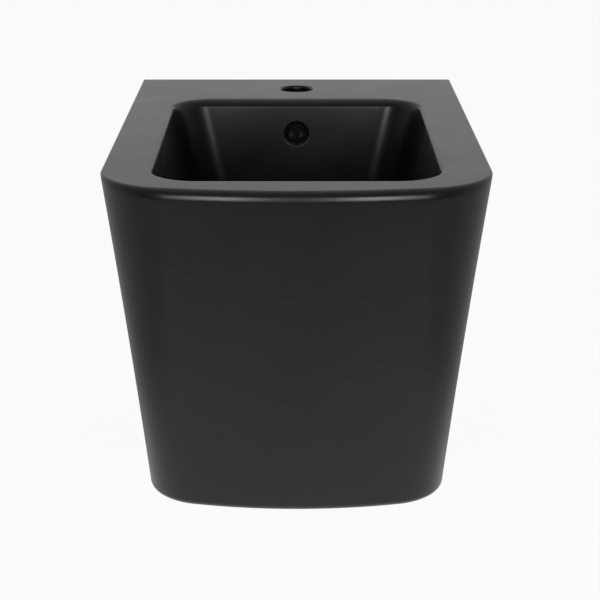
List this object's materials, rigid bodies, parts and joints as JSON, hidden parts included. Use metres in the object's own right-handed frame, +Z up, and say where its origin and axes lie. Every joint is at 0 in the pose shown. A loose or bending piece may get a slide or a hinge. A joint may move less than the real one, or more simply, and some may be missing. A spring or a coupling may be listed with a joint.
{
  "type": "wall-hung bidet",
  "caption": "Square-fronted wall-hung bidet in matt black ceramic: tapered full skirt, rectangular bowl, tap hole, overflow hole, press-to-close waste and bottle trap.",
  "frame": {"origin": "in the plane of the wall, midway between the two wall fixing holes", "axes": "+Y into the wall, -Y out towards the user, +Z up, +X along the wall to the right as seen from the room"},
  "size_m": [0.3594, 0.5274, 0.345],
  "materials": {
    "black_ceramic": "satin matt glaze",
    "chromed_brass": "polished",
    "black_coating": "satin",
    "raw_brass": "machined",
    "zinc_steel": "zinc plated",
    "black_rubber": "matt",
    "white_plastic": "matt"
  },
  "bodies": {
    "bidet": {"ceramic_body": "black_ceramic", "waste_body": "chromed_brass", "waste_flange_seal": "black_rubber", "waste_lower_gasket": "black_rubber", "waste_slip_washer": "white_plastic", "waste_lock_nut": "raw_brass", "click_sleeve": "raw_brass", "plug_spring": "zinc_steel", "trap_inlet_nut": "chromed_brass", "trap_inlet_seal": "black_rubber", "trap_body": "chromed_brass", "trap_dip_tube": "white_plastic", "trap_cup": "chromed_brass", "trap_cup_seal": "black_rubber", "trap_outlet_nut": "chromed_brass", "trap_outlet_seal": "black_rubber", "outlet_pipe": "chromed_brass", "fixing_bushes": "white_plastic", "fixing_washers": "zinc_steel", "fixing_nuts": "zinc_steel", "fixing_nut_caps": "white_plastic"},
    "plug": {"plug_cap": "black_coating", "plug_stem": "chromed_brass", "plug_seal_ring": "black_rubber"}
  },
  "joints": [
    {"name": "plug_press", "type": "slide", "parent": "bidet", "child": "plug", "axis": [0, 0, -1], "range_m": [0, 0.008], "stiffness_N_per_m": 500, "springref_m": -0.006, "deforming": ["plug_spring"]}
  ]
}
